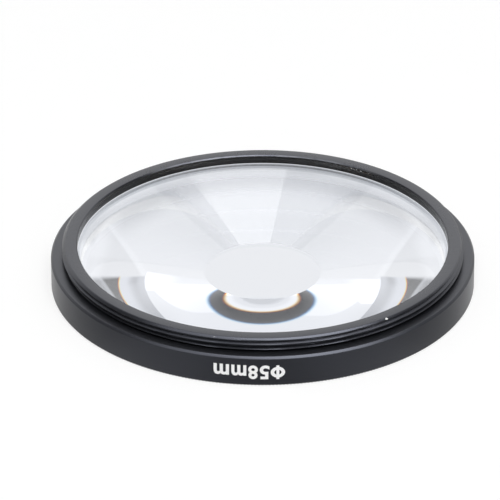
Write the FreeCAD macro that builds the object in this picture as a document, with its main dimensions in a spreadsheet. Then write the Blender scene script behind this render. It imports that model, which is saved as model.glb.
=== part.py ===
import FreeCAD, Part
import os

import Sketcher

# Screw-in effect filter for a camera lens: a turned ring, a dished prism glass and the
# ring that holds the glass in.
# Lengths are millimetres. The origin is the centre of the front rim's flat face, and +Z
# runs along the optical axis to the threaded collar, which screws into the lens.

# Each driving size is written once: name, value, what it is.
SIZES = [
    ("thread_radius", 29.0, "major radius of the male thread on the rear collar"),
    ("collar_height", 2.0, "shoulder to rear face"),
    ("collar_chamfer", 0.45, "lead-in chamfer on the thread's free end"),
    ("collar_wall", 1.5, "from the glass seat's bore out to the thread's crest"),
    ("relief_width", 0.35, "run-out groove at the foot of the thread"),
    ("relief_depth", 0.5, "depth of that groove below the thread's crest"),
    ("shoulder_width", 1.6, "how far the body stands out past the thread"),
    ("shoulder_chamfer", 0.3, "broken edge round the shoulder"),
    ("front_chamfer", 0.25, "broken edge round the front rim"),
    ("aperture_lip", 0.72, "width of the ledge that the glass is clamped against"),
    ("lip_thickness", 1.32, "thickness of that ledge, up to the rear face"),
    ("bore_chamfer", 0.15, "broken edge where the clear bore meets the rear face"),
    ("glass_clearance", 0.05, "radial gap round the glass"),
    ("disc_radius", 8.45, "flat centre of the dished side"),
    ("disc_thickness", 0.7, "glass left under the flat centre"),
    ("dish_depth", 3.63, "rim of the glass down to its flat centre"),
    ("dish_margin", 0.1, "how far the dish's edge stays inside the clear bore"),
    ("glass_bevel", 0.2, "ground bevels on the glass's outer edges"),
    ("ring_step", 0.55, "how much wider the holding ring's bore is than the seat"),
    ("ring_height", 0.85, "height of the holding ring"),
    ("ring_recess", 0.1, "front face down to the holding ring"),
    ("ring_clearance", 0.03, "radial gap round the holding ring"),
    ("ring_runout", 0.4, "bore left past the holding ring's inner end"),
    ("ring_width", 1.15, "radial width of the holding ring"),
    ("ring_chamfer", 0.15, "broken edges of the holding ring's opening and rim"),
    ("notch_width", 1.3, "spanner notches in the holding ring"),
    ("notch_depth", 0.45, "depth of those notches"),
    ("notch_overrun", 0.5, "how far the cutter runs past the ring on each side"),
]

# Sizes that follow from the driving ones, as expressions on the sheet.
THREAD_RADIUS = "Sizes.thread_radius"
RELIEF_RADIUS = "(Sizes.thread_radius - Sizes.relief_depth)"
BODY_RADIUS = "(Sizes.thread_radius + Sizes.shoulder_width)"
SEAT_RADIUS = "(Sizes.thread_radius - Sizes.collar_wall)"
APERTURE_RADIUS = f"({SEAT_RADIUS} - Sizes.aperture_lip)"
RING_BORE_RADIUS = f"({SEAT_RADIUS} + Sizes.ring_step)"
RING_RADIUS = f"({RING_BORE_RADIUS} - Sizes.ring_clearance)"
RING_OPENING = f"({RING_RADIUS} - Sizes.ring_width)"
GLASS_RADIUS = f"({SEAT_RADIUS} - Sizes.glass_clearance)"
DISH_RADIUS = f"({APERTURE_RADIUS} - Sizes.dish_margin)"

GLASS_THICKNESS = "(Sizes.disc_thickness + Sizes.dish_depth)"
GLASS_BASE = "(Sizes.ring_recess + Sizes.ring_height)"
LEDGE_LEVEL = f"({GLASS_BASE} + {GLASS_THICKNESS})"
REAR_FACE = f"({LEDGE_LEVEL} + Sizes.lip_thickness)"
SHOULDER_LEVEL = f"({REAR_FACE} - Sizes.collar_height)"
RING_BORE_DEPTH = f"({GLASS_BASE} + Sizes.ring_runout)"

NOTCHES = 2
STRAIGHT = 1e-9


def make_sheet(doc):
    """The sheet of driving sizes, one row each."""
    sheet = doc.addObject("Spreadsheet::Sheet", "Sizes")
    for row, (name, value, meaning) in enumerate(SIZES, start=1):
        sheet.set(f"A{row}", meaning)
        sheet.set(f"B{row}", str(value))
        sheet.setAlias(f"B{row}", name)
    doc.recompute()
    return sheet


def make_body(doc, label):
    """An empty body for one piece."""
    body = doc.addObject("PartDesign::Body", label)
    body.Label = label
    return body


def origin_plane(body, role):
    """One of the body's own origin planes."""
    for feature in body.Origin.OriginFeatures:
        if feature.Role == role:
            return feature
    raise ValueError(f"{body.Label} has no {role}")


def make_sketch(body, name, role):
    """An empty sketch on one of the body's origin planes."""
    sketch = body.newObject("Sketcher::SketchObject", name)
    sketch.AttachmentSupport = [(origin_plane(body, role), "")]
    sketch.MapMode = "FlatFace"
    return sketch


def value_of(sketch, expression):
    """The present value of an expression on the sheet."""
    return float(sketch.evalExpression(expression))


def pin_coordinate(sketch, line, kind, name, expression):
    """Ties one coordinate of a line's first point to the sheet."""
    value = value_of(sketch, expression)
    if abs(value) < STRAIGHT:
        axis = -1 if kind == "DistanceY" else -2
        sketch.addConstraint(Sketcher.Constraint("PointOnObject", line, 1, axis))
        return
    index = sketch.addConstraint(Sketcher.Constraint(kind, -1, 1, line, 1, value))
    sketch.renameConstraint(index, name)
    sketch.setExpression(f"Constraints.{name}", expression)


def draw_outline(sketch, corners):
    """A closed outline of straight lines through corners (name, x, y), tied to the sheet.

    Where two neighbours share a coordinate, the line between them is held upright or
    level, and the coordinate is given once.
    """
    places = [
        FreeCAD.Vector(value_of(sketch, x), value_of(sketch, y), 0)
        for _, x, y in corners
    ]
    count = len(corners)
    for i, place in enumerate(places):
        sketch.addGeometry(Part.LineSegment(place, places[(i + 1) % count]), False)
    for i in range(count):
        joint = Sketcher.Constraint("Coincident", i, 2, (i + 1) % count, 1)
        sketch.addConstraint(joint)
    for i, (name, x, y) in enumerate(corners):
        before = corners[i - 1]
        if i > 0 and x == before[1]:
            sketch.addConstraint(Sketcher.Constraint("Vertical", i - 1))
        else:
            pin_coordinate(sketch, i, "DistanceX", f"{name}_across", x)
        if i > 0 and y == before[2]:
            sketch.addConstraint(Sketcher.Constraint("Horizontal", i - 1))
        else:
            pin_coordinate(sketch, i, "DistanceY", f"{name}_along", y)


def turn(body, name, corners):
    """A turned form: the half section (name, radius, height) taken round the Z axis."""
    section = make_sketch(body, f"{name}_section", "XZ_Plane")
    draw_outline(section, corners)
    turned = body.newObject("PartDesign::Revolution", name)
    turned.Profile = section
    turned.ReferenceAxis = (section, ["V_Axis"])
    turned.Angle = 360.0
    return turned


def make_filter_frame(doc):
    """The turned ring: plain body, shoulder, threaded collar and the glass's seat."""
    body = make_body(doc, "filter_frame")
    shoulder_edge = f"({SHOULDER_LEVEL} - Sizes.shoulder_chamfer)"
    shoulder_rim = f"({BODY_RADIUS} - Sizes.shoulder_chamfer)"
    relief_end = f"({SHOULDER_LEVEL} + Sizes.relief_width)"
    collar_edge = f"({REAR_FACE} - Sizes.collar_chamfer)"
    collar_rim = f"({THREAD_RADIUS} - Sizes.collar_chamfer)"
    bore_rim = f"({APERTURE_RADIUS} + Sizes.bore_chamfer)"
    bore_edge = f"({REAR_FACE} - Sizes.bore_chamfer)"
    turn(
        body,
        "turned_ring",
        [
            ("front_inner", RING_BORE_RADIUS, "0"),
            ("front_outer", f"({BODY_RADIUS} - Sizes.front_chamfer)", "0"),
            ("wall_foot", BODY_RADIUS, "Sizes.front_chamfer"),
            ("wall_head", BODY_RADIUS, shoulder_edge),
            ("shoulder_outer", shoulder_rim, SHOULDER_LEVEL),
            ("shoulder_inner", RELIEF_RADIUS, SHOULDER_LEVEL),
            ("relief_head", RELIEF_RADIUS, relief_end),
            ("thread_foot", THREAD_RADIUS, relief_end),
            ("thread_head", THREAD_RADIUS, collar_edge),
            ("rear_outer", collar_rim, REAR_FACE),
            ("rear_inner", bore_rim, REAR_FACE),
            ("bore_head", APERTURE_RADIUS, bore_edge),
            ("ledge_inner", APERTURE_RADIUS, LEDGE_LEVEL),
            ("ledge_outer", SEAT_RADIUS, LEDGE_LEVEL),
            ("seat_foot", SEAT_RADIUS, RING_BORE_DEPTH),
            ("bore_step", RING_BORE_RADIUS, RING_BORE_DEPTH),
        ],
    )
    return body


def make_prism_glass(doc):
    """The glass: flat in front, and behind a dish with straight sides and a flat centre."""
    body = make_body(doc, "prism_glass")
    bevel_radius = f"({GLASS_RADIUS} - Sizes.glass_bevel)"
    upper_bevel = f"({GLASS_THICKNESS} - Sizes.glass_bevel)"
    turn(
        body,
        "ground_glass",
        [
            ("front_centre", "0", "0"),
            ("front_edge", bevel_radius, "0"),
            ("edge_foot", GLASS_RADIUS, "Sizes.glass_bevel"),
            ("edge_head", GLASS_RADIUS, upper_bevel),
            ("rim_outer", bevel_radius, GLASS_THICKNESS),
            ("rim_inner", DISH_RADIUS, GLASS_THICKNESS),
            ("disc_edge", "Sizes.disc_radius", "Sizes.disc_thickness"),
            ("disc_centre", "0", "Sizes.disc_thickness"),
        ],
    )
    body.setExpression("Placement.Base.z", GLASS_BASE)
    return body


def make_retaining_ring(doc):
    """The threaded ring that clamps the glass from the front, with spanner notches."""
    body = make_body(doc, "retaining_ring")
    blank = turn(
        body,
        "ring_blank",
        [
            ("opening_foot", f"({RING_OPENING} + Sizes.ring_chamfer)", "0"),
            ("rim_foot", f"({RING_RADIUS} - Sizes.ring_chamfer)", "0"),
            ("rim_edge", RING_RADIUS, "Sizes.ring_chamfer"),
            ("rim_head", RING_RADIUS, "Sizes.ring_height"),
            ("opening_head", RING_OPENING, "Sizes.ring_height"),
            ("opening_edge", RING_OPENING, "Sizes.ring_chamfer"),
        ],
    )
    doc.recompute()
    volume_before = blank.Shape.Volume

    outline = make_sketch(body, "notch_outline", "XY_Plane")
    inner_end = f"({RING_OPENING} - Sizes.notch_overrun)"
    outer_end = f"({RING_RADIUS} + Sizes.notch_overrun)"
    half = "(Sizes.notch_width / 2)"
    draw_outline(
        outline,
        [
            ("inner_right", inner_end, f"(-{half})"),
            ("outer_right", outer_end, f"(-{half})"),
            ("outer_left", outer_end, half),
            ("inner_left", inner_end, half),
        ],
    )
    notch = body.newObject("PartDesign::Pocket", "notch")
    notch.Profile = outline
    notch.Type = "Length"
    notch.setExpression("Length", "Sizes.notch_depth")
    notch.Reversed = True
    doc.recompute()
    if notch.Shape.Volume >= volume_before:
        raise ValueError("the spanner notch cuts nothing")

    notches = body.newObject("PartDesign::PolarPattern", "notches")
    notches.Originals = [notch]
    notches.Axis = (outline, ["N_Axis"])
    notches.Angle = 360.0
    notches.Occurrences = NOTCHES
    body.Tip = notches
    body.setExpression("Placement.Base.z", "Sizes.ring_recess")
    return body


def check(doc, pieces):
    """Stops the build where a feature failed or a piece isn't one sound solid."""
    for item in doc.Objects:
        if "Invalid" in item.State or "Error" in item.State:
            raise ValueError(f"{item.Label} failed: {item.State}")
    for piece in pieces:
        shape = piece.Shape
        if shape.isNull() or not shape.isValid() or len(shape.Solids) != 1:
            raise ValueError(f"{piece.Label} isn't one sound solid")


def main():
    doc = FreeCAD.newDocument("effect_filter")
    make_sheet(doc)
    pieces = [
        make_filter_frame(doc),
        make_prism_glass(doc),
        make_retaining_ring(doc),
    ]
    doc.recompute()
    check(doc, pieces)
    os.makedirs("parts", exist_ok=True)
    for piece in pieces:
        piece.Shape.exportStep(f"parts/{piece.Label}.step")
        box = piece.Shape.BoundBox
        print(
            f"{piece.Label}: {piece.Shape.Volume:.2f} mm3,"
            f" z {box.ZMin:.3f} to {box.ZMax:.3f}, across {box.XLength:.3f}"
        )


main()
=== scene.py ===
import math

import bpy
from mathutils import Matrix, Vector


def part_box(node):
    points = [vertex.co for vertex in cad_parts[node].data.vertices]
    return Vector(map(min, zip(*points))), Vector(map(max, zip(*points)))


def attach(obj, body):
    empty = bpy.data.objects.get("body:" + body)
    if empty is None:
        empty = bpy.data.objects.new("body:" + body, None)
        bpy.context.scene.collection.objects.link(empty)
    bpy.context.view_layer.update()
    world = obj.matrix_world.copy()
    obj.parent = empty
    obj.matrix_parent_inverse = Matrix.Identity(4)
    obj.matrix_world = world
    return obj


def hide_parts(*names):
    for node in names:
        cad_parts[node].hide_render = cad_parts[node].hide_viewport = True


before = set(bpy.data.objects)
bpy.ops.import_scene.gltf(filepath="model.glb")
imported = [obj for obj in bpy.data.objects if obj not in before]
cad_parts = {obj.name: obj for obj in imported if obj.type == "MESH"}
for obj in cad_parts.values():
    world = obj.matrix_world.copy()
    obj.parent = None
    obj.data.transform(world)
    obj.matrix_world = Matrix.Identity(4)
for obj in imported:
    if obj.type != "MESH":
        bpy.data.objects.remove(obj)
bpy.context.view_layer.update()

MM = 0.001

# Sizes of the screw-in filter, in millimetres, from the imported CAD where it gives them
FRAME_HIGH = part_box("filter_frame")[1]
GLASS_LOW, GLASS_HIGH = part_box("prism_glass")
RING_LOW, RING_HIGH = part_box("retaining_ring")

OUTER_RADIUS = FRAME_HIGH.x / MM
FRAME_HEIGHT = FRAME_HIGH.z / MM
COLLAR_HEIGHT = 2.0
SHOULDER_HEIGHT = FRAME_HEIGHT - COLLAR_HEIGHT
THREAD_RADIUS = 29.0
COLLAR_CHAMFER = 0.45
COLLAR_ROUNDING = 0.3
ROUNDING_ROOM = 0.17
SHOULDER_CHAMFER = 0.3
FRONT_CHAMFER = 0.25
RELIEF_RADIUS = 28.5
RELIEF_WIDTH = 0.35
RELIEF_STEP = 0.04
GLASS_RADIUS = GLASS_HIGH.x / MM
GLASS_TOP = GLASS_HIGH.z / MM
GLASS_BOTTOM = GLASS_LOW.z / MM
SEAT_CLEARANCE = 0.05
APERTURE_LIP = 0.72
APERTURE_RADIUS = GLASS_RADIUS + SEAT_CLEARANCE - APERTURE_LIP
BORE_CHAMFER = 0.15
RING_BORE_RADIUS = 28.05
RING_STEP_HEIGHT = 1.35

# The thread and the serration
THREAD_PITCH = 0.75
THREAD_DEPTH = 0.46
THREAD_START = 5.14
THREAD_RINGS_PER_PITCH = 20
TEETH = 380
TOOTH_DEPTH = 0.15
TOOTH_HEIGHT = 0.3

# The glass and the holding ring
DISC_RADIUS = 8.45
DISC_HEIGHT = 1.65
DISH_RADIUS = 26.68
GROUND_FROM = 26.87
GLASS_BEVEL = 0.2
RING_WIDTH = 1.15
RING_CHAMFER = 0.15
NOTCH_WIDTH = 1.3
NOTCH_DEPTH = 0.45

LATHE_SEGMENTS = 2 * TEETH
GLASS_SEGMENTS = 512
RING_SEGMENTS = 256


# Node trees

class Wire:
    """One output of a node. Arithmetic on it adds Math nodes to its tree."""

    def __init__(self, plan, node, output=0):
        self.plan = plan
        self.node = node
        self.socket = node.outputs[output]

    def __getitem__(self, output):
        return Wire(self.plan, self.node, output)

    def math(self, operation, *values):
        return self.plan.add("ShaderNodeMath", {"operation": operation}, dict(enumerate(values)))

    def __add__(self, other):
        return self.math("ADD", self, other)

    def __radd__(self, other):
        return self.math("ADD", other, self)

    def __sub__(self, other):
        return self.math("SUBTRACT", self, other)

    def __rsub__(self, other):
        return self.math("SUBTRACT", other, self)

    def __mul__(self, other):
        return self.math("MULTIPLY", self, other)

    def __rmul__(self, other):
        return self.math("MULTIPLY", other, self)

    def __truediv__(self, other):
        return self.math("DIVIDE", self, other)

    def __rtruediv__(self, other):
        return self.math("DIVIDE", other, self)

    def __abs__(self):
        return self.math("ABSOLUTE", self)

    def at_most(self, other):
        return self.math("MINIMUM", self, other)

    def at_least(self, other):
        return self.math("MAXIMUM", self, other)

    def ramp(self, start, end):
        """0 below start and 1 above end, with a smooth rise between them."""
        ends = {"Value": self, "From Min": start, "From Max": end}
        return self.plan.add("ShaderNodeMapRange", {"interpolation_type": "SMOOTHSTEP"}, ends)

    def band(self, start, end, soft):
        """1 between start and end, fading over the width soft at each."""
        return self.ramp(start - soft, start + soft) * (1 - self.ramp(end - soft, end + soft))


class Plan:
    """A node tree under construction."""

    def __init__(self, tree):
        self.tree = tree

    def add(self, kind, settings=None, inputs=None, output=0):
        """Adds a node: first its settings, then a value or a link for each named or numbered input."""
        node = self.tree.nodes.new(kind)
        for name, value in (settings or {}).items():
            setattr(node, name, value)
        for key, value in (inputs or {}).items():
            if isinstance(value, Wire):
                self.tree.links.new(value.socket, node.inputs[key])
            else:
                node.inputs[key].default_value = value
        return Wire(self, node, output) if len(node.outputs) else node

    def noise(self, where, scale, detail=2.0, roughness=0.5):
        sockets = {"Vector": where, "Scale": scale, "Detail": detail, "Roughness": roughness}
        return self.add("ShaderNodeTexNoise", None, sockets)

    def mix_colour(self, factor, first, second):
        sockets = {"Factor": factor, 6: first, 7: second}
        return self.add("ShaderNodeMix", {"data_type": "RGBA"}, sockets, 2)

    def place(self):
        """The point's own coordinates, with its parts as X, Y and Z."""
        return self.add("ShaderNodeTexCoord")["Object"]

    def parts(self, vector):
        return self.add("ShaderNodeSeparateXYZ", None, {0: vector})

    def distance(self, first, second):
        """How far a point is from the origin, from its two parts in the plane."""
        squared = first * first + second * second
        return squared.math("SQRT", squared)


def colour(red, green, blue):
    return (red, green, blue, 1.0)


def new_material(name):
    material = bpy.data.materials.new(name)
    material.use_nodes = True
    material.node_tree.nodes.clear()
    return material, Plan(material.node_tree)


def finish_material(plan, shader):
    plan.add("ShaderNodeOutputMaterial", None, {"Surface": shader})


# Finishes

def anodised_material(name, base, roughness, ior, tint):
    """Black anodised aluminium: a dark dielectric skin over a finely blasted, turned surface."""
    material, plan = new_material(name)
    where = plan.place()
    part = plan.parts(where)
    radius = plan.distance(part[0], part[1])
    blasted = plan.noise(where, 9000.0, 3.0, 0.6)
    cloudy = plan.noise(where, 220.0, 4.0)
    turned = plan.noise(plan.add("ShaderNodeCombineXYZ", None, {0: radius, 1: part[2] * 0.35}), 7000.0, 2.0)
    tone = 0.75 + cloudy * 0.3 + blasted * 0.2
    skin = plan.mix_colour(tone.at_most(1.0), colour(0, 0, 0), colour(*base))

    # A painted highlight: the bore's upper edge is paler at the back, in patches
    painted_edge_highlight = 1 - radius.ramp((APERTURE_RADIUS + 0.12) * MM, (APERTURE_RADIUS + 0.2) * MM)
    painted_edge_highlight = painted_edge_highlight * part[2].ramp((FRAME_HEIGHT - 0.2) * MM, (FRAME_HEIGHT - 0.13) * MM)
    painted_edge_highlight = painted_edge_highlight * part[1].ramp(19.0 * MM, 24.0 * MM) * cloudy.ramp(0.3, 0.6)
    skin = plan.mix_colour(painted_edge_highlight, skin, colour(0.1, 0.1, 0.105))
    height = blasted * 0.7 + turned * 0.3
    bump = plan.add("ShaderNodeBump", None, {"Strength": 0.35, "Distance": 0.00002, "Height": height})

    # The collar is glossier from its chamfer up
    chamfer_foot = FRAME_HEIGHT - COLLAR_CHAMFER
    collar = 1 - radius.ramp((THREAD_RADIUS - 0.03) * MM, (THREAD_RADIUS + 0.03) * MM)
    collar = collar * part[2].ramp((chamfer_foot - 0.1) * MM, (chamfer_foot + 0.05) * MM)
    gloss = roughness - 0.02 + cloudy * 0.06 + blasted * 0.04 - collar * 0.09
    shader = plan.add("ShaderNodeBsdfPrincipled", None, {
        "Base Color": dusty(plan, where, skin),
        "Roughness": gloss,
        "IOR": ior,
        "Specular Tint": tint,
        "Normal": bump,
    })
    finish_material(plan, shader)
    return material


def turned_material():
    """Bare turned aluminium of the holding ring, which is pale where it shows through the glass."""
    material, plan = new_material("turned_aluminium")
    where = plan.place()
    part = plan.parts(where)
    radius = plan.distance(part[0], part[1])
    grooves = plan.add("ShaderNodeCombineXYZ", None, {0: radius, 1: part[2]})
    turned = plan.noise(grooves, 9000.0, 3.0, 0.6)
    bump = plan.add("ShaderNodeBump", None, {"Strength": 0.25, "Distance": 0.00002, "Height": turned})
    shader = plan.add("ShaderNodeBsdfPrincipled", None, {
        "Base Color": plan.mix_colour(turned, colour(0.78, 0.79, 0.8), colour(0.88, 0.88, 0.89)),
        "Roughness": 0.3 + turned * 0.12,
        "Metallic": 1.0,
        "Normal": bump,
    })
    finish_material(plan, shader)
    return material


# Specks of pale dust on the collar and in the bore, as (x, y, z, size) in millimetres
DUST = (
    (17.45, -22.75, 6.4, 0.24), (-6.8, -27.95, 6.5, 0.1), (-6.3, -28.1, 6.45, 0.07),
    (13.1, 23.35, 6.2, 0.065), (13.9, 22.9, 6.25, 0.05), (14.5, 22.5, 6.18, 0.075), (15.6, 21.8, 6.2, 0.055),
)


def dusty(plan, where, skin):
    """The skin with its few specks of dust."""
    for x, y, z, size in DUST:
        offset = plan.add("ShaderNodeVectorMath", {"operation": "DISTANCE"},
                          {0: where, 1: (x * MM, y * MM, z * MM)}, "Value")
        ragged = offset + (plan.noise(where, 6000.0) - 0.5) * (size * MM)
        skin = plan.mix_colour(ragged.ramp(size * MM * 1.1, size * MM * 0.7), skin, colour(0.9, 0.9, 0.88))
    return skin


def glass_material():
    """Clear polished glass with the slightest cool tint. Painted shade makes the far side of its dish greyer
    near the rim.
    """
    material, plan = new_material("polished_glass")
    where = plan.place()
    part = plan.parts(where)
    radius = plan.distance(part[0], part[1]) / MM
    away = (part[1] / MM / radius).at_least(0.0)
    dish = part[2].ramp((DISC_HEIGHT + 0.05) * MM, (DISC_HEIGHT + 0.2) * MM)

    # Painted shade: a grey ring and a haze outside it stand for the frame's shadow and inner reflections
    # seen through the glass
    shade = away.ramp(0.1, 0.6) * dish
    painted_grey_ring = radius.ramp(18.5, 23.4) - radius.ramp(23.2, 26.0) * 0.6
    tint = plan.mix_colour(painted_grey_ring * shade, colour(0.985, 0.992, 1.0), colour(0.52, 0.53, 0.55))
    painted_haze_shade = radius.ramp(24.1, 25.1) * (away.ramp(0.85, 0.98) + away.ramp(0.03, 0.15) - away.ramp(0.3, 0.6))
    tint = plan.mix_colour(painted_haze_shade * dish * 0.55, tint, colour(0.36, 0.37, 0.39))

    # Painted shade on the rim, wider on the far side, with a painted dark line inside it there for the
    # reflection of the bore's edge
    rim = (radius - 26.45 + away * 1.15).ramp(-0.2, 0.15)
    painted_rim_shade = plan.mix_colour(away.ramp(0.68, 0.98), colour(0.46, 0.48, 0.51), colour(0.33, 0.34, 0.36))
    tint = plan.mix_colour(rim * dish, tint, painted_rim_shade)
    painted_dark_line = radius.band(26.12, 26.5, 0.1) * (0.6 + plan.noise(where, 2500.0) * 0.6) * away.ramp(0.25, 1.0)
    tint = plan.mix_colour((painted_dark_line * dish).at_most(1.0), tint, colour(0.06, 0.06, 0.06))
    shader = plan.add("ShaderNodeBsdfPrincipled", None, {
        "Base Color": tint,
        "Roughness": 0.0,
        "IOR": 1.52,
        "Transmission Weight": 1.0,
    })
    finish_material(plan, shader)
    return material


def ground_edge_material():
    """The finely ground rim of the glass: matt, with a painted glow that stands for the light that the glass
    leads to it.
    """
    material, plan = new_material("ground_glass_edge")
    where = plan.place()
    grit = plan.noise(where, 5000.0, 4.0, 0.7)
    tone = plan.mix_colour(grit, colour(0.63, 0.65, 0.69), colour(0.67, 0.69, 0.73))
    shader = plan.add("ShaderNodeBsdfPrincipled", None, {
        "Base Color": colour(0.1, 0.1, 0.1),
        "Roughness": 0.6,
        # Painted light: the edge glows as if lit through the glass, though it is no lamp
        "Emission Color": tone,
        "Emission Strength": 1.0,
    })
    finish_material(plan, shader)
    return material


def print_material():
    """Thin white ink, a little uneven."""
    material, plan = new_material("white_print")
    where = plan.place()
    uneven = plan.noise(where, 3500.0, 3.0)
    ink = plan.mix_colour(uneven, colour(0.9, 0.9, 0.9), colour(1.0, 1.0, 1.0))
    shader = plan.add("ShaderNodeBsdfPrincipled", None, {"Base Color": ink, "Roughness": 0.5})
    finish_material(plan, shader)
    return material


# Meshes

# The six faces of a box whose eight corners go round its foot and then round its top
BOX_SIDES = ((3, 2, 1, 0), (4, 5, 6, 7), (0, 1, 5, 4), (1, 2, 6, 5), (2, 3, 7, 6), (3, 0, 4, 7))


def corner(radius, height, rounding=0.0):
    """A corner of an outline, in millimetres, and the radius that breaks its edge."""
    return radius, height, rounding


def rounded(corners, steps=3):
    """The outline's points, with an arc of steps spans at each corner that has a rounding."""
    points = []
    count = len(corners)
    for index, (radius, height, rounding) in enumerate(corners):
        here = Vector((radius, height))
        if not rounding:
            points.append(here)
            continue
        before = Vector(corners[index - 1][:2]) - here
        after = Vector(corners[(index + 1) % count][:2]) - here
        before.normalize()
        after.normalize()
        half = before.angle(after) / 2
        reach = rounding / math.tan(half)
        centre = here + (before + after).normalized() * (rounding / math.sin(half))
        start = here + before * reach - centre
        end = here + after * reach - centre
        for step in range(steps + 1):
            spoke = start.lerp(end, step / steps).normalized()
            points.append(centre + spoke * rounding)
    return points


def evenly(start, end, count):
    """Points between two corners, without the two ends."""
    return [corner(start[0] + (end[0] - start[0]) * k / count, start[1] + (end[1] - start[1]) * k / count)
            for k in range(1, count)]


def lathe(name, points, segments, loop=True):
    """Turns an outline about Z. It runs with the solid on its left, and a point on the axis is a pole."""
    vertices = []
    rows = []
    for radius, height in points:
        if radius < 1e-6:
            rows.append([len(vertices)] * segments)
            vertices.append((0.0, 0.0, height * MM))
            continue
        rows.append(range(len(vertices), len(vertices) + segments))
        for k in range(segments):
            turn = 2 * math.pi * k / segments
            vertices.append((radius * MM * math.cos(turn), radius * MM * math.sin(turn), height * MM))
    faces = []
    for index in range(len(rows) if loop else len(rows) - 1):
        low, high = rows[index], rows[(index + 1) % len(rows)]
        for k in range(segments):
            after = (k + 1) % segments
            face = [low[k], low[after], high[after], high[k]]
            face = [v for n, v in enumerate(face) if v not in face[:n]]
            if len(face) > 2:
                faces.append(face)
    mesh = bpy.data.meshes.new(name)
    mesh.from_pydata(vertices, [], faces)
    mesh.update()
    return mesh


def new_piece(name, mesh):
    piece = bpy.data.objects.new(name, mesh)
    bpy.context.scene.collection.objects.link(piece)
    return piece


def smooth(piece, sharp_degrees):
    mesh = piece.data
    mesh.polygons.foreach_set("use_smooth", [True] * len(mesh.polygons))
    mesh.set_sharp_from_angle(angle=math.radians(sharp_degrees))


def settle(piece, node):
    """The piece stands for its node, whose CAD part it hides, and rides on the body."""
    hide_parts(node)
    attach(piece, "root")


def apply_modifiers(piece):
    """The piece's modifiers become plain mesh."""
    graph = bpy.context.evaluated_depsgraph_get()
    mesh = bpy.data.meshes.new_from_object(piece.evaluated_get(graph))
    piece.modifiers.clear()
    piece.data = mesh


# The frame: a turned ring whose thread and fine front serration are cut by one node tree

def cutter_tree(outside_finish, inside_finish):
    """Cuts the helical thread into the collar and the serration into the front chamfer."""
    tree = bpy.data.node_groups.new("thread_and_serration", "GeometryNodeTree")
    tree.interface.new_socket("Blank", in_out="INPUT", socket_type="NodeSocketGeometry")
    sizes = {
        "Pitch": THREAD_PITCH * MM,
        "Thread Start": THREAD_START * MM,
        "Thread Radius": THREAD_RADIUS * MM,
        "Thread Depth": THREAD_DEPTH * MM,
        "Collar Bottom": SHOULDER_HEIGHT * MM,
        "Collar Inside": (THREAD_RADIUS - 1.0) * MM,
        "Inside Radius": (RING_BORE_RADIUS + 0.02) * MM,
        "Inside Top": (FRAME_HEIGHT - BORE_CHAMFER) * MM,
        "Teeth": float(TEETH),
        "Tooth Depth": TOOTH_DEPTH * MM,
        "Tooth Height": TOOTH_HEIGHT * MM,
    }
    for label in sizes:
        tree.interface.new_socket(label, in_out="INPUT", socket_type="NodeSocketFloat")
    tree.interface.new_socket("Cut", in_out="OUTPUT", socket_type="NodeSocketGeometry")
    plan = Plan(tree)
    given = plan.add("NodeGroupInput")
    where = plan.add("GeometryNodeInputPosition")
    part = plan.parts(where)
    radius = plan.distance(part[0], part[1])
    turn = part[1].math("ARCTAN2", part[1], part[0])
    height = part[2]

    # One turn of the screw climbs one pitch; the flanks take five eighths of it, the crest an eighth
    climb = (height - given["Thread Start"]) / given["Pitch"] - turn / (2 * math.pi)
    phase = climb.math("FRACT", climb)
    from_crest = abs(phase - phase.math("ROUND", phase))
    groove = ((from_crest - 1 / 16) / (5 / 16)).at_least(0.0).at_most(1.0)
    screw = given["Thread Radius"] - groove * given["Thread Depth"]
    on_collar = height.math("GREATER_THAN", height, given["Collar Bottom"] + 0.02 * MM)
    outside = radius.math("GREATER_THAN", radius, given["Collar Inside"])
    thread_cut = (radius - radius.at_most(screw)) * on_collar * outside

    # Every second spoke of the lathe is a valley between two teeth
    wave = turn * given["Teeth"]
    valley = 0.5 - wave.math("COSINE", wave) * 0.5
    in_chamfer = 1 - height.ramp(given["Tooth Height"] * 0.6, given["Tooth Height"])
    at_rim = radius.ramp((OUTER_RADIUS - 2.2 * FRONT_CHAMFER) * MM, (OUTER_RADIUS - FRONT_CHAMFER) * MM)
    tooth_cut = valley * in_chamfer * at_rim * given["Tooth Depth"]

    shrink = (radius - thread_cut - tooth_cut) / radius
    moved = plan.add("ShaderNodeCombineXYZ", None, {0: part[0] * shrink, 1: part[1] * shrink, 2: height})
    cut = plan.add("GeometryNodeSetPosition", None, {"Geometry": given["Blank"], "Position": moved})
    whole = plan.add("GeometryNodeRealizeInstances", None, {"Geometry": cut})
    dressed = plan.add("GeometryNodeSetMaterial", None, {"Geometry": whole, "Material": outside_finish})
    inside = radius.math("LESS_THAN", radius, given["Inside Radius"])
    low_enough = height.math("LESS_THAN", height, given["Inside Top"])
    inner = {"Geometry": dressed, "Selection": inside * low_enough, "Material": inside_finish}
    dressed = plan.add("GeometryNodeSetMaterial", None, inner)
    plan.add("NodeGroupOutput", None, {"Cut": dressed})
    return tree, sizes


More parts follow.
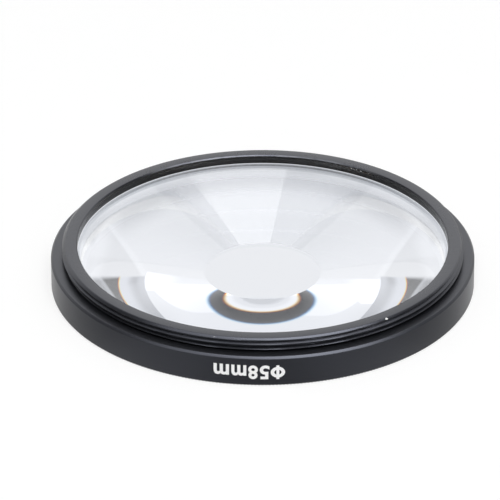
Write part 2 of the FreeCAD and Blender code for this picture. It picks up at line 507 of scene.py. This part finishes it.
def add_filter_frame(outside_finish, inside_finish):
    chamfer_foot = (THREAD_RADIUS, FRAME_HEIGHT - COLLAR_CHAMFER)
    chamfer_top = (THREAD_RADIUS - COLLAR_CHAMFER, FRAME_HEIGHT)
    chamfer_bend = (chamfer_top[0] + ROUNDING_ROOM, chamfer_top[1] - ROUNDING_ROOM)
    relief_foot = (RELIEF_RADIUS, SHOULDER_HEIGHT + RELIEF_STEP)
    relief_top = (RELIEF_RADIUS, SHOULDER_HEIGHT + RELIEF_WIDTH)
    land_foot = (THREAD_RADIUS, relief_top[1])
    spacing = THREAD_PITCH / THREAD_RINGS_PER_PITCH
    land_count = round((chamfer_foot[1] - land_foot[1]) / spacing)
    chamfer_count = round((COLLAR_CHAMFER - ROUNDING_ROOM) / spacing)
    seat_radius = GLASS_RADIUS + SEAT_CLEARANCE
    front_height = FRONT_CHAMFER * 1.4
    outline = [
        corner(RING_BORE_RADIUS, 0.0, 0.04),
        corner(OUTER_RADIUS - 2.5 * FRONT_CHAMFER, 0.0),
        corner(OUTER_RADIUS - FRONT_CHAMFER, 0.0, 0.03),
        corner(OUTER_RADIUS, FRONT_CHAMFER, 0.03),
        corner(OUTER_RADIUS, front_height),
        corner(OUTER_RADIUS, SHOULDER_HEIGHT - SHOULDER_CHAMFER, 0.08),
        corner(OUTER_RADIUS - SHOULDER_CHAMFER, SHOULDER_HEIGHT, 0.06),
        corner(RELIEF_RADIUS, SHOULDER_HEIGHT),
        corner(*relief_foot),
        *evenly(relief_foot, relief_top, 3),
        corner(*relief_top),
        *evenly(relief_top, land_foot, 3),
        corner(*land_foot),
        *evenly(land_foot, chamfer_foot, land_count),
        corner(*chamfer_foot),
        *evenly(chamfer_foot, chamfer_bend, chamfer_count),
        corner(*chamfer_bend),
        corner(*chamfer_top, COLLAR_ROUNDING),
        corner(APERTURE_RADIUS + BORE_CHAMFER, FRAME_HEIGHT, 0.03),
        corner(APERTURE_RADIUS, FRAME_HEIGHT - BORE_CHAMFER, 0.03),
        corner(APERTURE_RADIUS, GLASS_TOP + 0.01, 0.03),
        corner(seat_radius, GLASS_TOP + 0.01),
        corner(seat_radius, RING_STEP_HEIGHT, 0.03),
        corner(RING_BORE_RADIUS, RING_STEP_HEIGHT),
    ]
    name = "filter_frame_turned"
    piece = new_piece(name, lathe(name, rounded(outline), LATHE_SEGMENTS))
    tree, sizes = cutter_tree(outside_finish, inside_finish)
    cutter = piece.modifiers.new("cutter", "NODES")
    cutter.node_group = tree
    for item in tree.interface.items_tree:
        if item.in_out == "INPUT" and item.name in sizes:
            cutter[item.identifier] = sizes[item.name]
    apply_modifiers(piece)
    smooth(piece, 24.0)
    settle(piece, "filter_frame")


# The glass: flat underneath, with a clear flat disc in the middle of a shallow cone

def add_prism_glass(polished, ground):
    outline = [
        (0.0, GLASS_BOTTOM),
        (GROUND_FROM, GLASS_BOTTOM),
        (GLASS_RADIUS - GLASS_BEVEL, GLASS_BOTTOM),
        (GLASS_RADIUS, GLASS_BOTTOM + GLASS_BEVEL),
        (GLASS_RADIUS, GLASS_TOP - GLASS_BEVEL),
        (GLASS_RADIUS - GLASS_BEVEL, GLASS_TOP),
        (DISH_RADIUS, GLASS_TOP),
        (DISC_RADIUS, DISC_HEIGHT),
        (0.0, DISC_HEIGHT),
    ]
    name = "prism_glass_dished"
    piece = new_piece(name, lathe(name, outline, GLASS_SEGMENTS, loop=False))
    mesh = piece.data
    mesh.materials.append(polished)
    mesh.materials.append(ground)
    edge = (DISH_RADIUS - 0.01) * MM
    for face in mesh.polygons:
        nearest = min(math.hypot(mesh.vertices[v].co.x, mesh.vertices[v].co.y) for v in face.vertices)
        face.material_index = 1 if nearest > edge else 0
    smooth(piece, 8.0)
    settle(piece, "prism_glass")


# The ring that holds the glass from the front, with two notches for a pin spanner

def add_retaining_ring(material):
    outer = RING_HIGH.x / MM
    inner = outer - RING_WIDTH
    low = RING_LOW.z / MM
    high = RING_HIGH.z / MM - 0.01
    outline = [
        corner(inner, low, 0.04),
        corner(outer, low, 0.06),
        corner(outer, high, 0.06),
        corner(inner + RING_CHAMFER, high),
        corner(inner, high - RING_CHAMFER),
    ]
    name = "retaining_ring_turned"
    piece = new_piece(name, lathe(name, rounded(outline), RING_SEGMENTS))
    middle = (inner + outer) / 2
    wide = outer - inner + 0.8
    for side in (-1, 1):
        cutter = new_piece("notch_cutter", bpy.data.meshes.new("notch_cutter"))
        reach = (wide / 2 * MM, NOTCH_WIDTH / 2 * MM, NOTCH_DEPTH * MM)
        centre = (side * middle * MM, 0.0, low * MM)
        corners = [[c + r * s for c, r, s in zip(centre, reach, signs)]
                   for signs in ((-1, -1, -1), (1, -1, -1), (1, 1, -1), (-1, 1, -1),
                                 (-1, -1, 1), (1, -1, 1), (1, 1, 1), (-1, 1, 1))]
        cutter.data.from_pydata(corners, [], BOX_SIDES)
        notch = piece.modifiers.new("notch", "BOOLEAN")
        notch.operation = "DIFFERENCE"
        notch.solver = "EXACT"
        notch.object = cutter
        apply_modifiers(piece)
        bpy.data.objects.remove(cutter)
    piece.data.materials.clear()
    piece.data.materials.append(material)
    smooth(piece, 30.0)
    settle(piece, "retaining_ring")


# The thread size, printed upside down on the side wall as it stands

# Heights in millimetres, the baseline above the foot of the filter
BASELINE = 3.33
DIGIT_HEIGHT = 2.2
LETTER_HEIGHT = 1.72
INK_HEIGHT = 0.01

# Each character: its left and right end along the wall and its height, in millimetres
MARK = (
    ("m", -6.86, -4.69, LETTER_HEIGHT),
    ("m", -4.37, -2.27, LETTER_HEIGHT),
    ("8", -2.01, -0.65, DIGIT_HEIGHT),
    ("5", -0.4, 0.97, DIGIT_HEIGHT),
    ("diameter", 1.14, 3.15, DIGIT_HEIGHT),
)


def character_mesh(character):
    """A bold character from the built-in face, as a thick flat mesh."""
    text = bpy.data.curves.new("character", "FONT")
    text.body = character
    text.offset = 0.03
    text.extrude = 0.5
    text.resolution_u = 6
    letters = bpy.data.objects.new("character", text)
    bpy.context.scene.collection.objects.link(letters)
    graph = bpy.context.evaluated_depsgraph_get()
    mesh = bpy.data.meshes.new_from_object(letters.evaluated_get(graph))
    bpy.data.objects.remove(letters)
    return mesh


def diameter_mesh():
    """The diameter sign: an oval ring with an upright bar through it."""
    count = 40
    vertices = []
    faces = []
    for k in range(count):
        turn = 2 * math.pi * k / count
        for wide, tall in ((1.0, 0.78), (0.5, 0.36)):
            for z in (-0.5, 0.5):
                vertices.append((wide * math.cos(turn), tall * math.sin(turn), z))
        here, after = 4 * k, 4 * ((k + 1) % count)
        for a, b in ((0, 1), (1, 3), (3, 2), (2, 0)):
            faces.append((here + b, here + a, after + a, after + b))
    for low, high in ((-1.0, -0.7), (-0.4, 0.4), (0.7, 1.0)):
        first = len(vertices)
        outline = ((-0.21, low), (0.21, low), (0.21, high), (-0.21, high))
        vertices += [(x, y, z) for z in (-0.5, 0.5) for x, y in outline]
        faces += [tuple(first + v for v in side) for side in BOX_SIDES]
    mesh = bpy.data.meshes.new("diameter")
    mesh.from_pydata(vertices, [], faces)
    return mesh


def add_size_mark(material):
    vertices = []
    faces = []
    for character, first, last, tall in MARK:
        mesh = diameter_mesh() if character == "diameter" else character_mesh(character)
        xs = [v.co.x for v in mesh.vertices]
        ys = [v.co.y for v in mesh.vertices]
        left, right, foot, top = min(xs), max(xs), min(ys), max(ys)
        start = len(vertices)
        for vertex in mesh.vertices:
            along = last + (first - last) * (vertex.co.x - left) / (right - left)
            height = BASELINE - tall * (vertex.co.y - foot) / (top - foot)
            turn = math.asin(along / OUTER_RADIUS)
            radius = OUTER_RADIUS + (INK_HEIGHT if vertex.co.z > 0 else -INK_HEIGHT)
            vertices.append((radius * MM * math.sin(turn), -radius * MM * math.cos(turn), height * MM))
        faces += [tuple(start + v for v in face.vertices) for face in mesh.polygons]
        bpy.data.meshes.remove(mesh)
    mesh = bpy.data.meshes.new("size_mark")
    mesh.from_pydata(vertices, [], faces)
    mesh.materials.append(material)
    piece = new_piece("size_mark", mesh)
    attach(piece, "root")


# Stage: floor, the light pattern that falls through the glass, lamps and world

# How far the pattern's plane lies below the floor, and the centre of its patch, in millimetres
TABLE_DROP = 14.0
PATCH_X = -0.16
PATCH_Y = 9.0

# Borders in the pattern: patch and ring from the patch's centre, the others from the middle plane
PATCH_EDGE = 7.05
RING_EDGE = 10.55
LOBE_EDGE = 22.1
PRISM_EDGE = 25.85
WEDGE_EDGE = 28.2

# What the camera sees of the pattern is a strip along Y with a round end, on a plain white table
STRIP_END = 25.4
STRIP_REACH = 33.2
PLAIN_TONE = 0.88

# For red, green and blue: the shift of their borders, their tint and their glow in the dark ring
CHANNELS = ((0.1, 0.965, 0.023), (0.0, 0.98, 0.027), (-0.1, 1.02, 0.036))


def stage_plane(name, size, height, material):
    half = size / 2
    corners = [(x * half, y * half, height) for x, y in ((-1, -1), (1, -1), (1, 1), (-1, 1))]
    mesh = bpy.data.meshes.new(name)
    mesh.from_pydata(corners, [], [(0, 1, 2, 3)])
    mesh.materials.append(material)
    plane = new_piece(name, mesh)
    return plane


def floor_material():
    """A white table: plain paint, which keeps the shadow, with a glow for what looks at it."""
    material, plan = new_material("white_table")
    rays = plan.add("ShaderNodeLightPath")
    part = plan.parts(plan.place())

    # Painted reflection: how bright the floor is in the mirror of the side wall, darker straight in front
    # and brighter to the sides, by the azimuth from the front in degrees
    across = abs(part[0])
    azimuth = across.math("ARCTAN2", across, 0 - part[1]) * (180 / math.pi)
    mirrored = 0.56 + azimuth.ramp(0.0, 28.0) * 0.5 - azimuth.ramp(38.0, 56.0) * 0.36
    mirrored = mirrored + azimuth.ramp(60.0, 95.0) * 0.45

    seen = (rays["Is Camera Ray"] + rays["Is Glossy Ray"] + rays["Is Transmission Ray"]).at_most(1.0)
    # Rays other than the camera's see this painted reflection level
    strength = rays["Is Camera Ray"] + (1 - rays["Is Camera Ray"]) * mirrored
    tone = plan.mix_colour(strength * 0.76, colour(0, 0, 0), colour(1, 1, 1))
    paint = plan.add("ShaderNodeBsdfDiffuse", None, {"Color": colour(0.8, 0.8, 0.8)})
    clear = plan.add("ShaderNodeBsdfDiffuse", None, {"Color": colour(0.27, 0.27, 0.27)})
    glow = plan.add("ShaderNodeEmission", None, {"Color": tone, "Strength": 1.0})
    lit = plan.add("ShaderNodeAddShader", None, {0: clear, 1: glow})
    shader = plan.add("ShaderNodeMixShader", None, {0: seen, 1: paint, 2: lit})
    finish_material(plan, shader)
    return material


def blend(first, second, factor):
    """From the first value to the second as the factor goes from 0 to 1."""
    return first + (second - first) * factor


def lobes_and_streaks(across, along, right, lobe_edge, prism_edge, past_lobe):
    """White lobes beside the ring, paler glass in front of them, and the streaks outside."""
    outward = (across - 11.0 + right).at_least(0.0)
    foot = outward * outward * 0.14 + 1.5 - right * 1.4
    notch = 19.8 - right * 2.5
    foot = blend(foot, 12.2 - right * 6.4, (across - notch).ramp(-0.2, 0.2))
    lobe = (along - foot).ramp(-0.5, 0.5)
    paler = along.ramp(15.6, 17.6) * (1 - across.ramp(16.0, 19.5)) * 0.2 + along.ramp(3.0, 12.0) * 0.06
    tone = blend(0.945 - across.ramp(12.0, 20.0) * 0.16, 1.08 - paler, lobe)

    # The streaks grow brighter outwards, with a pale foot and a darker spot
    share = (across - lobe_edge) / (prism_edge - lobe_edge)
    streak = 0.45 + share.ramp(0.35, 0.75) * 0.19
    streak = streak + (1 - share.ramp(0.1, 0.35)) * along.ramp(5.0, 17.0) * 0.09
    streak = streak - along.band(15.0, 19.5, 1.5) * across.band(23.1, 24.3, 0.5) * 0.09
    return blend(tone, streak, past_lobe)


def far_table(across, along, right, past_lobe):
    """The table seen past the glass: where it starts, as a factor, and its tone."""
    slope = (across - 13.0) * 0.31
    edge = blend(20.5 + slope, 21.4 - slope, right * across.ramp(9.0, 11.5))
    edge = blend(edge, 20.3 - (across - 22.2) * 0.42, past_lobe)
    soft = (1.9 - (across - 14.0) * 0.2).at_least((across - 20.6) * 0.22).at_least(0.8)
    slant = across - 22.5 - (along - 21.0) * 0.245
    tone = 0.75 + slant.band(-1.0, 0.2, 0.4) * 0.04 - slant.ramp(0.0, 0.6) * 0.08
    tone = tone + across.ramp(28.0, 30.5) * 0.1
    tone = tone + across.ramp(9.0, 13.0) * (1 - along.ramp(30.0, 90.0)) * 0.05
    return ((along - edge) / soft).ramp(-1.0, 1.0), tone


def pattern_material():
    """Painted light and shadow that the glass throws below it: bright patch, dark ring, white lobes and side
    streaks.
    """
    material, plan = new_material("light_through_glass")
    part = plan.parts(plan.place())
    across = abs(part[0] / MM)
    along = part[1] / MM
    right = (part[0] / MM).ramp(-1.0, 1.0)
    ahead = PATCH_Y - along
    radius = plan.distance(part[0] / MM - PATCH_X, ahead)
    forward = ahead.at_least(0.0) / radius.at_least(0.001)
    ring_edge = RING_EDGE + forward * forward * forward * 2.08
    ring_rise = (radius - ring_edge).ramp(-2.8, 0.3) * 0.07

    # The streaks have curved borders. Outside them comes a dark wedge of painted shadow from the frame, then
    # grey table with a pale edge
    below = (22.3 - along).at_least(0.0)
    lobe_edge = LOBE_EDGE - below * below * 0.01
    below = (18.8 - along).at_least(0.0)
    prism_edge = PRISM_EDGE - below * below * 0.0135
    past_lobe = (across - lobe_edge).ramp(-0.12, 0.12)
    past_wedge = across - WEDGE_EDGE + (17.0 - along) * 0.325
    outside = past_wedge.ramp(-0.1, 0.4) * 0.36 - past_wedge.ramp(0.5, 1.0) * 0.1 - 0.02

    # The patch grows brighter outwards. The sides of its far half are painted bright so that they light the
    # wall of the bore in its gloss
    patch = 0.82 + radius.ramp(3.9, 4.7) * 0.09 + radius.ramp(5.4, 6.6) * 0.13
    patch = patch + along.ramp(9.0, 12.0) * across.ramp(2.5, 4.5) * 5.0

    tone = lobes_and_streaks(across, along, right, lobe_edge, prism_edge, past_lobe)
    far, far_tone = far_table(across, along, right, past_lobe)
    reach = plan.distance(across, (STRIP_END - along).at_least(0.0))
    plain = reach.ramp(STRIP_REACH, STRIP_REACH + 2.3)
    glow = []
    for shift, tint, ring_glow in CHANNELS:
        inside = 1 - radius.ramp(PATCH_EDGE + shift, PATCH_EDGE + 0.95 + shift * 1.8)
        beyond = (radius - ring_edge).ramp(shift - 0.55, shift + 0.35)
        near = blend(tone, outside, (across - prism_edge).ramp(shift - 0.1, shift + 0.1))
        whole = inside * patch + beyond * near + (1 - beyond) * ring_rise + ring_glow
        cool = tint + (tint - 1.0) * (past_lobe * (1 - far) * 0.8 + 0.2)
        glow.append(blend(blend(whole, far_tone, far), PLAIN_TONE, plain) * cool)
    light = plan.add("ShaderNodeCombineXYZ", None, dict(enumerate(glow)))
    shader = plan.add("ShaderNodeEmission", None, {"Color": light, "Strength": 1.0})
    finish_material(plan, shader)
    return material


def add_stage():
    floor = stage_plane("floor", 4.0, 0.0, floor_material())
    floor.visible_transmission = False
    pattern = stage_plane("light_pattern", 4.0, -TABLE_DROP * MM, pattern_material())
    for ray in ("camera", "diffuse", "glossy", "volume_scatter", "shadow"):
        setattr(pattern, "visible_" + ray, False)


def add_world():
    """White for the camera and through the glass; a soft studio for reflections."""
    world = bpy.data.worlds.new("studio")
    bpy.context.scene.world = world
    world.use_nodes = True
    world.node_tree.nodes.clear()
    plan = Plan(world.node_tree)
    part = plan.parts(plan.add("ShaderNodeTexCoord")["Generated"])
    rays = plan.add("ShaderNodeLightPath")
    rise = part[2]
    back = part[1].ramp(0.1, 0.7)
    sideways = abs(part[0])

    # What only reflections show: a dim horizon, a back screen, a canopy, a narrow strip and light overhead
    horizon = (1 - rise.ramp(0.13, 0.25)) * (1 - sideways.ramp(0.25, 0.45)) * back
    screen = rise.ramp(0.16, 0.28) * (1 - rise.ramp(0.694, 0.702)) * back
    canopy = rise.ramp(0.702, 0.75) * back
    strip = rise.band(0.74, 0.84, 0.01) * part[0].band(-0.03, 0.092, 0.003) * back
    overhead = rise.ramp(0.85, 0.93) * (1.8 + part[0].ramp(-0.4, 0.4) * 2.4)
    reflected = (1.0 - horizon * 0.55 + screen * 0.7 + canopy * 0.9) * (0.3 + back * 0.7)
    reflected = reflected + strip * 1.7 + overhead

    seen = (rays["Is Camera Ray"] + rays["Is Transmission Ray"]).at_most(1.0)
    glossy = rays["Is Glossy Ray"] * (1 - seen)

    # Rays that leave the glass upwards to the front find a brighter sky
    facing = (1 - part[1].ramp(-0.5, 0.1)) * rise.ramp(0.1, 0.4)
    through = rays["Is Transmission Ray"]
    strength = seen + through * facing * 0.4 + glossy * reflected + (1 - seen) * (1 - glossy) * 0.5
    sky = plan.add("ShaderNodeBackground", None, {"Color": colour(1, 1, 1), "Strength": strength})
    plan.add("ShaderNodeOutputWorld", None, {"Surface": sky})


def add_softbox(name, azimuth, elevation, distance, size, radiance, mirrored):
    """A square lamp that looks at the filter: one for diffuse light, or one that only shows in gloss."""
    lamp = bpy.data.lights.new(name, "AREA")
    lamp.shape = "SQUARE"
    lamp.size = size
    lamp.energy = radiance * math.pi * size * size
    body = bpy.data.objects.new(name, lamp)
    bpy.context.scene.collection.objects.link(body)
    turn, rise = math.radians(azimuth), math.radians(elevation)
    outward = Vector((math.sin(turn) * math.cos(rise), -math.cos(turn) * math.cos(rise), math.sin(rise)))
    body.location = outward * distance
    body.rotation_euler = outward.to_track_quat("Z", "Y").to_euler()
    body.visible_transmission = False
    body.visible_diffuse = not mirrored
    body.visible_glossy = mirrored


def add_camera():
    camera = bpy.data.objects.new("camera", bpy.data.cameras.new("camera"))
    bpy.context.scene.collection.objects.link(camera)
    camera.data.sensor_width = 36.0
    camera.data.lens = 397.4
    camera.data.clip_start = 0.01
    camera.location = (0.0, -0.7011, 0.3854)
    target = Vector((-0.00184, 0.00216, 0.00394))
    camera.rotation_euler = (target - camera.location).to_track_quat("-Z", "Y").to_euler()
    bpy.context.scene.camera = camera


add_camera()
add_filter_frame(
    anodised_material("black_anodised", (0.004, 0.0042, 0.0048), 0.34, 1.5, colour(0.8, 0.84, 1.0)),
    anodised_material("bore_anodised", (0.002, 0.002, 0.002), 0.26, 1.52, colour(1.0, 1.0, 1.0)),
)
add_prism_glass(glass_material(), ground_edge_material())
add_retaining_ring(turned_material())
add_size_mark(print_material())
add_stage()
add_world()
add_softbox("front_softbox", 10.0, 58.0, 1.0, 0.6, 5.0, False)
add_softbox("key_in_gloss", 37.0, 56.0, 1.0, 0.9, 7.6, True)
add_softbox("fill_in_gloss", -48.0, 54.0, 1.0, 0.6, 3.0, True)
bpy.context.scene.view_settings.view_transform = "Standard"

# Light that the glass traps goes round many times before it leaves, so paths are long
for limit in ("max_bounces", "glossy_bounces", "transmission_bounces"):
    setattr(bpy.context.scene.cycles, limit, 48)
